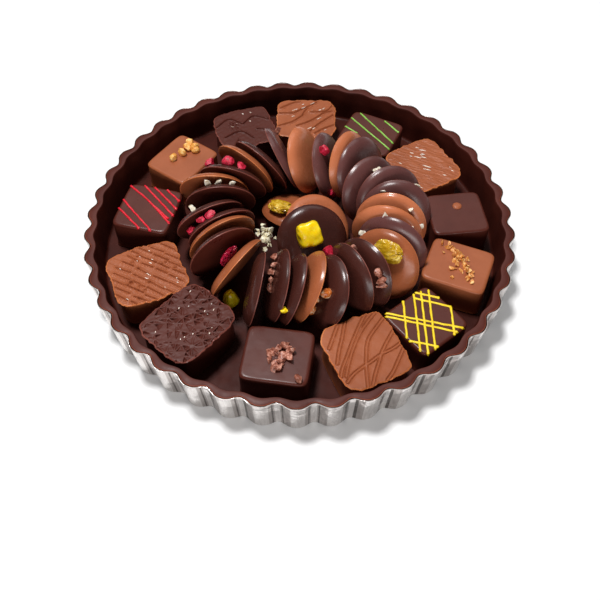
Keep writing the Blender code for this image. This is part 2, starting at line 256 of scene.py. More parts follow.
def mixed(tree, factor, first, second):
    """A blend of two colours."""
    node = tree.nodes.new("ShaderNodeMix")
    node.data_type = "RGBA"
    sockets = (node.inputs["Factor"], node.inputs[6], node.inputs[7])
    for socket, value in zip(sockets, (factor, first, second)):
        if isinstance(value, bpy.types.NodeSocket):
            tree.links.new(value, socket)
        else:
            socket.default_value = value
    return node.outputs[2]


def bumped(tree, height, strength, distance, under=None):
    node = tree.nodes.new("ShaderNodeBump")
    node.inputs["Strength"].default_value = strength
    node.inputs["Distance"].default_value = distance
    tree.links.new(height, node.inputs["Height"])
    if under is not None:
        tree.links.new(under, node.inputs["Normal"])
    return node.outputs["Normal"]


def make_chocolate(name, tones, gloss, grain=0.15, shine=0.3):
    """Tempered chocolate: a cloudy tone, faint specks, and a sheen that varies."""
    material, tree, shader, (deep, mid, light) = start_material(name, tones)
    place = place_of(tree)
    cloud = noise(tree, place, 55, 4, 0.6)
    tone = ramp(tree, cloud, ((0.32, deep), (0.52, mid), (0.72, light)))
    specks = noise(tree, place, 1500, 2, 0.6)
    dust = ramp(tree, specks, ((0.66, 0.0), (0.78, 0.55)))
    tree.links.new(mixed(tree, dust, tone, light), shader.inputs["Base Color"])
    sheen = noise(tree, place, 160, 3, 0.55)
    tree.links.new(ramp(tree, sheen, ((0.3, gloss[0]), (0.7, gloss[1]))), shader.inputs["Roughness"])
    swell = bumped(tree, noise(tree, place, 130, 2), 0.25, 0.0004)
    tree.links.new(bumped(tree, specks, grain, 0.00006, swell), shader.inputs["Normal"])
    shader.inputs["IOR"].default_value = 1.46
    shader.inputs["Specular IOR Level"].default_value = shine
    return material


def make_metal(name, tones):
    """Thin bright tin: faint upright drawing lines, small dents and dull patches."""
    material, tree, shader, (low, high) = start_material(name, tones)
    shader.inputs["Metallic"].default_value = 1.0
    place = place_of(tree)
    upright = place_of(tree, (1, 1, 0.06))
    lines = noise(tree, upright, 900, 3, 0.6)
    cloud = noise(tree, place, 70, 4, 0.6)
    tone = ramp(tree, cloud, ((0.3, low), (0.7, high)))
    worn = ramp(tree, lines, ((0.35, low), (0.6, high)))
    tree.links.new(mixed(tree, 0.5, tone, worn), shader.inputs["Base Color"])
    tree.links.new(ramp(tree, cloud, ((0.3, 0.16), (0.7, 0.3))), shader.inputs["Roughness"])
    dents = bumped(tree, noise(tree, place, 110, 3, 0.55, 0.6), 0.6, 0.0014)
    tree.links.new(bumped(tree, lines, 0.2, 0.00008, dents), shader.inputs["Normal"])
    return material


def make_fruit_material(name, tones, scale, gloss, soft, depth):
    """Dried or candied fruit: wet-looking folds over a colour that glows a little."""
    material, tree, shader, (deep, mid, light) = start_material(name, tones)
    place = place_of(tree)
    folds = noise(tree, place, scale, 5, 0.6, 0.8)
    tree.links.new(ramp(tree, folds, ((0.3, deep), (0.5, mid), (0.72, light))), shader.inputs["Base Color"])
    fine = noise(tree, place, scale * 5, 3, 0.6)
    tree.links.new(ramp(tree, fine, ((0.3, gloss - 0.08), (0.7, gloss + 0.1))), shader.inputs["Roughness"])
    wrinkles = bumped(tree, folds, 0.6, depth)
    tree.links.new(bumped(tree, fine, 0.3, depth * 0.2, wrinkles), shader.inputs["Normal"])
    shader.inputs["Subsurface Weight"].default_value = soft
    shader.inputs["Subsurface Radius"].default_value = (1.0, 0.6, 0.3)
    shader.inputs["Subsurface Scale"].default_value = 0.0015
    return material


def make_crumb_material(name, tones, scale, gloss, pitted):
    """Broken nuts, nibs and crisp pieces: mottled, dry and pitted."""
    material, tree, shader, (deep, mid, light) = start_material(name, tones)
    place = place_of(tree)
    mottle = noise(tree, place, scale, 4, 0.65)
    tree.links.new(ramp(tree, mottle, ((0.32, deep), (0.5, mid), (0.68, light))), shader.inputs["Base Color"])
    tree.links.new(ramp(tree, mottle, ((0.3, gloss), (0.7, gloss + 0.2))), shader.inputs["Roughness"])
    pits = noise(tree, place, scale * 2.2, 3, 0.6)
    tree.links.new(bumped(tree, pits, pitted, 0.00025), shader.inputs["Normal"])
    return material


def make_floor_material():
    material, _, shader, _ = start_material("studio_floor")
    shader.inputs["Base Color"].default_value = (0.93, 0.93, 0.93, 1.0)
    shader.inputs["Roughness"].default_value = 0.9
    shader.inputs["Specular IOR Level"].default_value = 0.1
    return material


# Colours are 8-bit display ones, from deep to light
DARK_TONES = ((76, 33, 25), (82, 37, 28), (88, 41, 32))
MILK_TONES = ((148, 80, 48), (156, 86, 53), (164, 93, 59))

# key: name, tones
METALS = {
    "tin": ("tin_silver", ((202, 195, 191), (238, 233, 230))),
    # tin_flank and tin_crease are darker copies of the tin: painted half shade and painted crease shade on
    # the fluted wall and rim
    "tin_flank": ("tin_flank", ((158, 149, 145), (196, 188, 184))),
    "tin_crease": ("tin_crease", ((84, 76, 72), (118, 110, 105))),
}
# key: name, tones, least and greatest roughness, and where they aren't the common ones, grain and shine
CHOCOLATES = {
    # dark_dome and milk_dome are lighter, greyer copies of the chocolates: painted light and painted
    # reflection on the domes of the back, right and lower middle discs
    "dark_dome": ("dark_dome", ((90, 52, 49), (97, 57, 54), (106, 64, 60)), (0.24, 0.36), 0.15, 0.6),
    "milk_dome": ("milk_dome", ((180, 102, 66), (190, 110, 73), (200, 119, 82)), (0.2, 0.32), 0.15, 0.4),
    # dark_gloss is darker than the dark chocolate: painted shade on the other discs' domes
    "dark_gloss": ("dark_gloss", ((62, 29, 23), (68, 33, 27), (75, 38, 31)), (0.2, 0.32), 0.15, 0.5),
    "milk_gloss": ("milk_gloss", MILK_TONES, (0.2, 0.32), 0.15, 0.4),
    "dark": ("dark_chocolate", DARK_TONES, (0.26, 0.42)),
    "milk": ("milk_chocolate", MILK_TONES, (0.3, 0.45)),
    "dark_plate": ("dark_plate_chocolate", DARK_TONES, (0.4, 0.55), 0.1, 0.22),
    "milk_plate": ("milk_plate_chocolate", MILK_TONES, (0.4, 0.55), 0.1, 0.22),
    "shell": ("shell_chocolate", ((76, 33, 26), (82, 37, 29), (90, 42, 33)), (0.4, 0.6), 0.35, 0.25),
    # shell_inside is a darker copy of the shell chocolate: painted shade on the inner wall and the floor
    "shell_inside": ("shell_inside", ((56, 21, 15), (64, 25, 18), (74, 32, 24)), (0.4, 0.6), 0.35, 0.12),
    # shell_edge is a lighter copy of the shell chocolate: a painted highlight along the outer lip
    "shell_edge": ("shell_edge", ((120, 56, 36), (138, 68, 45), (160, 86, 60)), (0.5, 0.7)),
    # dark_edge and milk_edge are lighter copies of the chocolates: painted highlight along the plates' edges
    # and the discs' rims
    "dark_edge": ("dark_edge", ((108, 56, 47), (122, 66, 56), (140, 82, 71)), (0.3, 0.5)),
    "milk_edge": ("milk_edge", ((176, 96, 52), (192, 110, 64), (214, 134, 86)), (0.3, 0.5)),
}
# key: name, tones, scale of the folds, roughness, softness, depth of the folds in metres
FRUITS = {
    "mango": ("mango", ((255, 200, 0), (255, 216, 8), (255, 232, 60)), 220, 0.24, 0.1, 0.0003),
    "raisin": ("raisin", ((150, 108, 8), (200, 156, 28), (238, 208, 100)), 220, 0.22, 0.15, 0.0004),
    "cranberry": ("cranberry", ((74, 4, 18), (150, 12, 44), (214, 44, 84)), 420, 0.2, 0.25, 0.0012),
}
# key: name, tones, scale of the mottle, roughness, strength of the pits
BITS = {
    # Pale slivers that stand in for glints off the plates: painted highlight
    "fleck": ("pale_flecks", ((214, 180, 156), (240, 222, 206), (255, 250, 244)), 500, 0.25, 0.2),
    "green": ("green_drizzle", ((120, 176, 62), (136, 192, 74), (156, 208, 98)), 300, 0.3, 0.1),
    "red": ("red_drizzle", ((196, 14, 34), (212, 20, 42), (228, 40, 58)), 300, 0.3, 0.1),
    "yellow": ("yellow_drizzle", ((238, 200, 8), (246, 212, 14), (252, 226, 40)), 300, 0.3, 0.1),
    "grain": ("puffed_grain", ((196, 182, 140), (236, 226, 194), (255, 252, 236)), 700, 0.5, 0.6),
    # Nibs and caramel: a random mottle, with its pale light end a painted highlight; the nibs' tones are also
    # raised as painted light against shade
    "nibs": ("cocoa_nibs", ((96, 46, 34), (164, 98, 78), (230, 172, 150)), 620, 0.3, 0.5),
    "caramel": ("caramel_grains", ((150, 62, 16), (206, 110, 40), (250, 226, 190)), 420, 0.2, 0.2),
    "raspberry": ("raspberry_bits", ((120, 4, 22), (190, 14, 48), (232, 50, 90)), 900, 0.4, 0.6),
    "white": ("white_bits", ((200, 176, 140), (238, 226, 204), (255, 252, 244)), 700, 0.5, 0.5),
    "golden": ("golden_crumbs", ((176, 98, 34), (228, 154, 76), (252, 216, 150)), 700, 0.4, 0.7),
    "nuts": ("chopped_nuts", ((206, 126, 44), (240, 172, 82), (255, 222, 150)), 500, 0.35, 0.4),
}
KINDS = (
    (make_metal, METALS), (make_chocolate, CHOCOLATES), (make_fruit_material, FRUITS),
    (make_crumb_material, BITS),
)
MATERIALS = {key: make(*look) for make, looks in KINDS for key, look in looks.items()}


# Meshes

def add_piece(name, points, faces, finishes, nodes=(), face_slots=None, crease=38):
    """A piece of the dressed model, from points in millimetres and keys of materials."""
    mesh = bpy.data.meshes.new(name)
    mesh.from_pydata((np.asarray(points) * MM).tolist(), [], faces)
    for finish in finishes:
        mesh.materials.append(MATERIALS[finish])
    if face_slots is not None:
        mesh.polygons.foreach_set("material_index", face_slots)
    mesh.shade_smooth()
    mesh.set_sharp_from_angle(angle=math.radians(crease))
    mesh.update()
    item = bpy.data.objects.new(name, mesh)
    bpy.context.scene.collection.objects.link(item)
    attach(item, "root")
    if nodes:
        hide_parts(*nodes)
    return item


def ring_faces(rows, columns):
    """Quads between closed rings of points, one ring after another."""
    faces = []
    for row in range(rows - 1):
        low = row * columns
        for column in range(columns):
            after = (column + 1) % columns
            faces.append((low + column, low + after, low + columns + after, low + columns + column))
    return faces


def rings_body(rings):
    """Points and faces of closed rings joined in order, with both ends filled."""
    rows, columns = len(rings), len(rings[0])
    faces = ring_faces(rows, columns)
    faces.append(tuple(reversed(range(columns))))
    faces.append(tuple(range((rows - 1) * columns, rows * columns)))
    return np.concatenate(rings), faces


def ring_at(angle, reach, height):
    """A closed ring of points by direction, distance from the middle, and height."""
    return np.stack(np.broadcast_arrays(reach * np.cos(angle), reach * np.sin(angle), height), 1)


def wave_field(seed, size, count=14):
    """A smooth random height about zero over points, with swells about size across."""
    rng = np.random.default_rng(seed)
    angle = rng.uniform(0, TAU, count)
    lift = rng.uniform(-0.6, 0.6, count)
    length = size * rng.uniform(0.7, 1.6, count)
    start = rng.uniform(0, TAU, count)

    def field(x, y, z=0.0):
        total = 0.0
        for a, b, wave, phase in zip(angle, lift, length, start):
            total = total + np.sin((x * math.cos(a) + y * math.sin(a) + z * b) * TAU / wave + phase)
        return total / math.sqrt(count)

    return field


def smooth_step(low, high, value):
    t = np.clip((value - low) / (high - low), 0, 1)
    return t * t * (3 - 2 * t)


def turned(points, x, y, turn):
    """Points of an upright piece set at its place on the shell's floor."""
    a = math.radians(turn)
    out = np.array(points, float)
    out[:, 0] = x + points[:, 0] * math.cos(a) - points[:, 1] * math.sin(a)
    out[:, 1] = y + points[:, 0] * math.sin(a) + points[:, 1] * math.cos(a)
    return out


def moved(points, matrix):
    """Points in millimetres moved by a matrix in millimetres."""
    m = np.array(matrix)
    return points @ m[:3, :3].T + m[:3, 3]


# Tin and shell

# Slots of the tin's metal: the bright metal, which also paints the highlights, a darker copy as painted half
# shade, and a darkest copy as painted crease shade
PAINTED_LIT, PAINTED_HALF_SHADE, PAINTED_CREASE_SHADE = range(3)


def flute_phase(angle):
    drift = 0.9 * np.sin(2 * angle) - 0.8 * np.sin(angle) - 0.4 * np.cos(angle)
    return FLUTES * angle + FLUTE_START + drift


def wall_ring(height, inset, dent=None):
    """One ring of the fluted wall, pulled in by inset."""
    angle = TAU * np.arange(AROUND) / AROUND
    phase = flute_phase(angle)
    radius = TIN_BASE_RADIUS + (TIN_RIM_RADIUS - TIN_BASE_RADIUS) * height / TIN_HEIGHT
    reach = radius - inset + FLUTE_DEPTH * np.cos(phase) - FLUTE_ROUNDING * np.cos(2 * phase)
    if dent is not None:
        reach = reach - 0.1 * np.abs(dent(radius * np.cos(angle), radius * np.sin(angle), height))
    return ring_at(angle, reach, height)


def scallop_ring(radius, depth, height):
    """A ring that follows the flutes more softly, or a plain one at no depth."""
    angle = TAU * np.arange(AROUND) / AROUND
    return ring_at(angle, radius + depth * np.cos(flute_phase(angle)), height)


def flute_painted_light_slots():
    """Which metal each face of a wall row has: painted highlight on the crests' lit side and in the valleys,
    painted half shade on the flanks, and thin lines of painted crease shade.
    """
    phase = flute_phase(TAU * (np.arange(AROUND) + 0.5) / AROUND)
    turn = np.mod(phase, TAU) - math.pi
    slots = np.where((np.cos(phase - 0.3) > 0.3) | (np.abs(turn) < 0.5), PAINTED_LIT, PAINTED_HALF_SHADE)
    slots[(np.abs(turn + 0.95) < 0.16) | (np.abs(turn - 0.8) < 0.2)] = PAINTED_CREASE_SHADE
    return slots


def make_tin():
    dent = wave_field(11, 9.0)
    base = [scallop_ring(60, 0, 0.25), scallop_ring(90, 0, 0.2), scallop_ring(95.2, 0.6, 0.0)]
    wall = [wall_ring(0.0, 0.5), wall_ring(0.25, 0.1), wall_ring(0.7, 0.0)]
    wall += [wall_ring(h, 0.0, dent) for h in np.linspace(1.5, 19.0, 15)]
    rim = [wall_ring(19.8, 0.02), wall_ring(20.0, 0.14), wall_ring(20.0, 0.36), wall_ring(19.8, 0.48)]
    inside = [wall_ring(h, TIN_SHEET) for h in (15.0, 8.0, 1.2)]
    inside += [wall_ring(TIN_SHEET, TIN_SHEET + 0.4), scallop_ring(60, 0, TIN_SHEET)]
    points, faces = rings_body(base + wall + rim + inside)
    slots = np.zeros(len(faces), int)
    first = len(base) * AROUND
    last = first + len(wall) * AROUND
    # The wall's faces take painted highlight or painted shade by their place in the flute
    slots[first:last] = np.tile(flute_painted_light_slots(), len(wall))
    # The rim takes the darker copy: painted half shade
    slots[last:last + len(rim) * AROUND] = PAINTED_HALF_SHADE
    metals = ["tin", "tin_flank", "tin_crease"]
    add_piece("tin_body", points, faces, metals, ("tin",), face_slots=slots, crease=50)


def make_shell():
    outside = TIN_SHEET + GAP
    edge = TIN_RIM_RADIUS - RIM_BAND
    corner = 1.4
    swell = wave_field(5, 38.0)
    wall = [wall_ring(outside, outside + 0.6)] + [wall_ring(h, outside) for h in (1.6, 10.0, 18.6, 19.6)]
    lip = [wall_ring(19.88, outside + 0.06), wall_ring(20.0, outside + 0.26)]
    band = [scallop_ring(edge + 0.6, SCALLOP_DEPTH, 20.0), scallop_ring(edge + 0.2, SCALLOP_DEPTH, 19.92)]
    inside = [scallop_ring(edge - 0.05, SCALLOP_DEPTH, 19.6)]
    for step in np.linspace(0, 1, 10):
        height = 19.2 - (19.2 - SHELL_FLOOR - corner) * step
        inside.append(scallop_ring(edge - 0.1 - 1.5 * step, SCALLOP_DEPTH * (1 - 0.9 * step), height))
    for turn in np.linspace(0.2, 1.0, 6):
        a = turn * math.pi / 2
        radius = edge - 1.6 - 1.5 * (1 - math.cos(a))
        inside.append(scallop_ring(radius, 0.04, SHELL_FLOOR + corner * (1 - math.sin(a))))
    for radius in (91, 86, 80, 72, 64, 57, 55.5, 54, 52.5, 51, 49.5, 40, 26, 12, 4):
        rise = smooth_step(MIDDLE_RADIUS + 6.5, MIDDLE_RADIUS, radius)
        ring = scallop_ring(radius, 0, SHELL_FLOOR + (MIDDLE_FLOOR - SHELL_FLOOR) * rise)
        ring[:, 2] -= 0.12 * np.abs(swell(ring[:, 0], ring[:, 1]))
        inside.append(ring)
    points, faces = rings_body(wall + lip + band + inside)
    slots = np.zeros(len(faces), int)
    first = (len(wall) - 1) * AROUND
    # The outer lip takes the lighter copy: a painted edge highlight
    slots[first:first + len(lip) * AROUND] = 1
    # The inner wall and the floor take the darker copy: painted shade
    slots[first + (len(lip) + len(band)) * AROUND:] = 2
    chocolates = ["shell", "shell_edge", "shell_inside"]
    add_piece("shell_body", points, faces, chocolates, ("shell",), face_slots=slots)


# Pralines

def square_radius(angle, width, depth, squareness):
    """Distance to the edge of a square with soft corners, by direction."""
    across = np.abs(np.cos(angle)) / (width / 2)
    along = np.abs(np.sin(angle)) / (depth / 2)
    return (across ** squareness + along ** squareness) ** (-1 / squareness)


def square_ring(width, depth, height):
    angle = TAU * (np.arange(SQUARE_SIDES) + 0.5) / SQUARE_SIDES
    return ring_at(angle, square_radius(angle, width, depth, COATED_SQUARENESS), height)


def coated_top(x, y, width, depth, top):
    """Height of a coated praline's top over a point, rounded down at its edge."""
    n = COATED_SQUARENESS
    share = ((np.abs(x) / (width / 2)) ** n + (np.abs(y) / (depth / 2)) ** n) ** (1 / n)
    fall = np.clip((share - 0.89) / 0.11, 0, 1)
    return top - 0.06 * share ** 2 - 1.2 * (1 - np.sqrt(1 - np.minimum(fall, 0.995) ** 2.2))


def make_coated(name, x, y, turn, width, depth, top, kind):
    seed = len(name) * 7 + int(width * 3)
    swell = wave_field(seed, 16.0)
    rings = []
    for wider, height in ((-0.6, 0.0), (0.5, 0.25), (0.2, 0.9)):
        rings.append(square_ring(width + wider, depth + wider, FOOT + height))
    for step in np.linspace(0, 1, 8):
        height = FOOT + 1.6 + (top - 1.55 - FOOT - 1.6) * step
        ring = square_ring(width - 0.3 * step, depth - 0.3 * step, height)
        ring[:, :2] *= 1 - 0.006 * np.abs(swell(ring[:, 0], ring[:, 1], ring[:, 2]))[:, None]
        rings.append(ring)
    for share in list(1 - np.linspace(0, 1, 14) ** 1.6 * 0.13)[1:] + list(np.linspace(0.84, 0.04, 14)):
        ring = square_ring((width - 0.3) * share, (depth - 0.3) * share, 0)
        ring[:, 2] = coated_top(ring[:, 0], ring[:, 1], width - 0.3, depth - 0.3, top)
        ring[:, 2] += 0.04 * swell(ring[:, 0], ring[:, 1])
        rings.append(ring)
    points, faces = rings_body(rings)
    add_piece(
        name.replace("praline", "coated"), turned(points, x, y, turn), faces, [kind],
        (name,),
    )


# Cells along a side of a plate's top, and how many of them at the border have the edge's material
GRID = 132
BORDER = 2


def grid_plate(outline, relief, top):
    """A plate's top as a fine grid that fills the outline; returns points, faces, edge."""
    steps = np.linspace(-1, 1, GRID + 1)
    across, along = np.meshgrid(steps, steps, indexing="ij")
    share = np.maximum(np.abs(across), np.abs(along))
    angle = np.arctan2(along, across)
    reach = outline(angle) * share
    x, y = reach * np.cos(angle), reach * np.sin(angle)
    points = np.stack((x, y, top + relief(x, y, share)), -1).reshape(-1, 3)
    row = GRID + 1
    faces = []
    for i in range(GRID):
        for j in range(GRID):
            a = i * row + j
            faces.append((a, a + row, a + row + 1, a + 1))
    edge = [i * row for i in range(GRID)] + [GRID * row + j for j in range(GRID)]
    edge += [i * row + GRID for i in range(GRID, 0, -1)] + list(range(GRID, 0, -1))
    return points, faces, edge


def make_plated(name, x, y, turn, width, depth, top, waves, wave_depth, kind, relief):
    ragged = wave_field(len(name), 2.6)
    grain = wave_field(len(name) + 40, 1.1)

    def outline(angle):
        ripple = 1 - wave_depth / width * (1 + np.cos(waves * angle))
        reach = square_radius(angle, width, depth, PLATE_SQUARENESS) * ripple
        cx, cy = 10 * np.cos(angle), 10 * np.sin(angle)
        rough = 0.26 * ragged(cx, cy) + 0.1 * grain(cx, cy)
        return reach + 0.1 + rough

    def surface(px, py, share):
        lip = -0.35 * smooth_step(0.955, 1.0, share) ** 2
        return lip + relief(px, py) * (1 - 0.5 * smooth_step(0.94, 1.0, share))

    points, faces, edge = grid_plate(outline, surface, top)
    rim = points[edge]
    angle = np.arctan2(rim[:, 1], rim[:, 0])
    reach = np.hypot(rim[:, 0], rim[:, 1])
    inset = 2 * (0.8 + wave_depth)
    body = square_radius(angle, width - inset, depth - inset, PLATE_SQUARENESS)
    rows = [(reach - 0.02, top - 0.6), (reach - 0.08, top - 1.0), (reach - 0.4, top - 1.35)]
    rows += [(body + 0.15, top - 1.7), (body, top - 2.4)]
    low = FOOT + 0.9
    rows += [(body + 0.05 * k, top - 2.4 - (top - 2.4 - low) * k / 5) for k in range(1, 6)]
    rows += [(body + 0.4, FOOT + 0.25), (body - 0.2, FOOT)]
    start = len(points)
    parts = [points]
    for away, height in rows:
        parts.append(ring_at(angle, away, height))
    count = len(edge)
    for j in range(count):
        k = (j + 1) % count
        faces.append((edge[j], start + j, start + k, edge[k]))
    first_side = len(faces)
    for row in range(len(rows) - 1):
        low = start + row * count
        for j in range(count):
            k = (j + 1) % count
            faces.append((low + j, low + count + j, low + count + k, low + k))
    faces.append(tuple(reversed(range(start + (len(rows) - 1) * count, start + len(rows) * count))))
    slots = np.zeros(len(faces), int)
    # The outermost cells of the top, the lip and the first row of the side take the lighter edge copy: a
    # painted edge highlight
    border = np.abs(np.arange(GRID) + 0.5 - GRID / 2) > GRID / 2 - BORDER
    slots[:GRID * GRID] = np.where(border[:, None] | border[None, :], 2, 0).ravel()
    slots[first_side - count:first_side + count] = 2
    slots[first_side + 3 * count:] = 1
    add_piece(
        name.replace("praline", "plated"), turned(np.concatenate(parts), x, y, turn), faces,
        [kind + "_plate", kind, kind + "_edge"],
        (name,), face_slots=slots,
    )


def curve_through(corners, count):
    """Points along a smooth curve through the corners."""
    p = np.array(corners, float)
    if len(p) == 2:
        t = np.linspace(0, 1, count)[:, None]
        return p[0] * (1 - t) + p[1] * t
    p = np.vstack((2 * p[0] - p[1], p, 2 * p[-1] - p[-2]))
    out = []
    for a, b, c, d in zip(p, p[1:], p[2:], p[3:]):
        t = np.linspace(0, 1, count // (len(p) - 3), endpoint=False)[:, None]
        out.append(0.5 * (
            2 * b + (c - a) * t + (2 * a - 5 * b + 4 * c - d) * t ** 2 + (3 * b - a - 3 * c + d) * t ** 3
        ))
    out.append(p[-2][None])
    return np.vstack(out)


def distance_to(x, y, path):
    """Distance from points to a path of close points."""
    best = np.full(np.shape(x), 1e9)
    for px, py in path:
        best = np.minimum(best, (x - px) ** 2 + (y - py) ** 2)
    return np.sqrt(best)


# A generic angular cut for the relief praline, in another layout than the photo's
CUTS = (
    ((-14, 5), (-6, 9), (0, 3)),
    ((0, 3), (7, 7), (14, 2)),
    ((-12, -4), (-3, -2), (2, -9)),
    ((6, -3), (12, -6)),
    ((-9, -12), (-6, -8)),
)

# Lines on two plates, read off enlarged crops of the photo, in its pixels
SWIRL_PIXELS = (
    ((337.6, 325.7), (329.4, 348.6)),
    ((345.5, 319.6), (342.6, 337), (339.4, 350.7), (337.6, 363.6)),
    ((366.6, 312), (360.9, 322.9), (353.7, 339.3), (348, 355), (342.6, 369.3), (341.6, 376.4)),
    ((376.2, 311), (368, 321.4), (360.9, 332), (353.7, 347.9), (348.7, 365), (346.6, 376.4)),
    (
        (384.4, 316.4), (376.6, 327), (370, 336.4), (367.3, 345), (366.6, 355), (366.6, 366.4),
        (368.7, 387.9),
    ),
    ((393.4, 330.7), (386.6, 342.9), (382.3, 352), (379.4, 362), (375.9, 373.6), (373.4, 385.7)),
    (
        (402.3, 341.4), (393.7, 347.9), (382.3, 353.6), (372.3, 360.7), (363.7, 366.4), (353.7, 374.3),
        (348, 382),
    ),
    ((404, 347.9), (398.7, 360), (393.7, 371.4), (388, 380)),
)
STEP_PIXELS = (
    ((279, 125.5), (290, 122.5), (297, 119), (303, 115)),
    ((278, 113), (285, 113), (293, 113)),
    ((293, 113.5), (300, 110), (308, 106.5), (313, 104)),
    ((297, 125.5), (305, 123), (312, 120), (318, 116.5), (324, 113), (332, 111)),
    ((310, 131), (320, 123), (333, 115)),
    ((303, 115), (305, 111), (311, 105), (317, 102)),
    ((311, 112), (326, 111), (333, 105)),
    ((315, 133), (325, 128), (337, 124)),
    ((281, 108), (293, 103), (300, 102)),
)
PHOTO_PIXELS = 600.0
PHOTO_MIDDLE = PHOTO_PIXELS / 2
SHINGLE_ANGLE = -50
SHINGLE_WIDTH = 3.4
BARK_ANGLE = -53


def off_photo(row, pixel):
    """A photo pixel as a place on a praline's top, through the scene's own camera."""
    focal = LENS / SENSOR * PHOTO_PIXELS
    across, down = pixel[0] - PHOTO_MIDDLE, pixel[1] - PHOTO_MIDDLE
    tilt = math.radians(CAMERA_TILT)
    ray = np.array((
        across,
        focal * math.sin(tilt) - down * math.cos(tilt),
        -focal * math.cos(tilt) - down * math.sin(tilt),
    ))
    start = np.array(CAMERA_PLACE) / MM
    hit = start + ray * (row[5] - start[2]) / ray[2]
    turn = math.radians(row[2])
    dx, dy = hit[0] - row[0], hit[1] - row[1]
    return dx * math.cos(turn) + dy * math.sin(turn), -dx * math.sin(turn) + dy * math.cos(turn)


def lines_off_photo(name, pixel_lines):
    """Lines read off the photo, as lines on a plate."""
    return [[off_photo(PLATED[name], pixel) for pixel in line] for line in pixel_lines]


def grooves(x, y, lines, depth, width, beside=0.0, lip=0.0):
    """Sunk lines along smooth curves, single or a pair apart, each with raised lips."""
    away = np.full(np.shape(x), 1e9)
    for corners in lines:
        away = np.minimum(away, distance_to(x, y, curve_through(corners, 100)))
    out = lip * np.exp(-((away - beside - 2.1 * width) / (1.1 * width)) ** 2)
    return out - depth * np.exp(-((away - beside) / width) ** 2)


def swirl_relief(x, y):
    """Curved double lines, as a transfer comb leaves them."""
    height = grooves(x, y, lines_off_photo("praline_swirl", SWIRL_PIXELS), 0.6, 0.25, 0.66, 0.12)
    return height + 0.03 * wave_field(3, 5.0)(x, y) + 0.012 * wave_field(2, 1.2)(x, y)


def slanted(x, y, angle):
    """Distances along and across a slanting grain."""
    a = math.radians(angle)
    return x * math.cos(a) + y * math.sin(a), -x * math.sin(a) + y * math.cos(a)


def shingle_lines():
    """The lower edges of the bands: rows of straight lines, broken at random."""
    rng = np.random.default_rng(41)
    angle = math.radians(SHINGLE_ANGLE)
    along = np.array((math.cos(angle), math.sin(angle)))
    aside = np.array((-math.sin(angle), math.cos(angle)))
    lines = []
    for band in range(-5, 6):
        over = band * SHINGLE_WIDTH + rng.uniform(-0.4, 0.4)
        run = -17.0 + rng.uniform(0, 5)
        while run < 15:
            length = rng.uniform(5, 9)
            ends = (over + rng.uniform(-0.4, 0.4), over + rng.uniform(-0.4, 0.4))
            lines.append([along * run + aside * ends[0], along * (run + length) + aside * ends[1]])
            run += length + rng.uniform(0.8, 3.0)
    return lines


def wood_relief(x, y):
    """Overlapping shingle-like bands that run slantwise, with small knots."""
    run, over = slanted(x, y, SHINGLE_ANGLE)
    over = over + 0.3 * wave_field(21, 13.0)(x, y)
    within = over / SHINGLE_WIDTH - np.floor(over / SHINGLE_WIDTH)
    height = -0.16 * (1 - smooth_step(0.0, 0.7, within)) + 0.05 * wave_field(22, 1.6)(run * 0.2, over)
    height = height + grooves(x, y, shingle_lines(), 0.65, 0.36, 0.0, 0.3)
    rng = np.random.default_rng(8)
    knots = [rng.uniform(low, high, 14) for low, high in ((-13, 13), (-13, 13), (0.6, 1.3))]
    for knot_x, knot_y, size in zip(*knots):
        away = np.hypot(x - knot_x, y - knot_y)
        pit, lip = 0.6 * np.exp(-(away / (0.7 * size)) ** 2), 0.3 * np.exp(-((away - size) / 0.3) ** 2)
        height = height - pit + lip
    return height + 0.03 * wave_field(4, 1.4)(x, y) - 0.1


def bark_relief(x, y):
    """Fine rough grain that runs slantwise, with long shallow pits."""
    run, over = slanted(x, y, BARK_ANGLE)
    fine = wave_field(31, 1.5, 24)(run * 0.14, over) + 0.6 * wave_field(32, 0.8, 24)(run * 0.18, over)
    height = 0.1 * fine + 0.12 * wave_field(33, 4.0)(run * 0.3, over)
    rng = np.random.default_rng(9)
    for kr, ko in zip(rng.uniform(-13, 13, 22), rng.uniform(-13, 13, 22)):
        height = height - 0.34 * np.exp(-((run - kr) / 2.2) ** 2 - ((over - ko) / 0.34) ** 2)
    return height - 0.15


def crackle_relief(x, y):
    """A net of straight ridges with sunk triangles, each deepest on one side."""
    rng = np.random.default_rng(14)
    spots = []
    for i in range(-6, 7):
        for j in range(-6, 7):
            spots.append((i * 3.5 + rng.uniform(-1.5, 1.5), j * 3.5 + rng.uniform(-1.5, 1.5)))
    corners, _, triangles = delaunay_2d_cdt([Vector(s) for s in spots], [], [], 0, 1e-6)[:3]
    height = np.zeros_like(x)
    for triangle in triangles:
        points = [np.array(corners[k]) for k in triangle]
        middle = sum(points) / 3
        deep = rng.uniform(-0.25, 1.0)
        near = (np.abs(x - middle[0]) < 4) & (np.abs(y - middle[1]) < 4)
        if deep < 0.05 or not near.any():
            continue
        px, py = x[near], y[near]
        inside = np.full(px.shape, 1e9)
        for a, b in zip(points, points[1:] + points[:1]):
            edge = (b - a) / np.linalg.norm(b - a)
            inside = np.minimum(inside, (px - a[0]) * -edge[1] + (py - a[1]) * edge[0])
        lean = np.clip(0.5 + ((px - middle[0]) * -0.28 + (py - middle[1]) * 0.28), 0, 1)
        height[near] -= deep * smooth_step(0.26, 0.56, inside) * (0.25 + 0.75 * lean)
    return 1.5 * height + 0.04 * wave_field(16, 2.6)(x, y)


def line_relief(x, y):
    """Cut lines that meet at angles, and a small rough patch."""
    height = grooves(x, y, CUTS, 0.65, 0.3, 0.0, 0.2)
    patch = np.exp(-((x + 5.2) / 2.6) ** 2 - ((y - 3.6) / 5.4) ** 2)
    rough = wave_field(18, 1.1, 20)(x, y)
    return height + 0.4 * patch * np.abs(rough) - 0.3 * patch + 0.05 * wave_field(19, 2.2)(x, y)


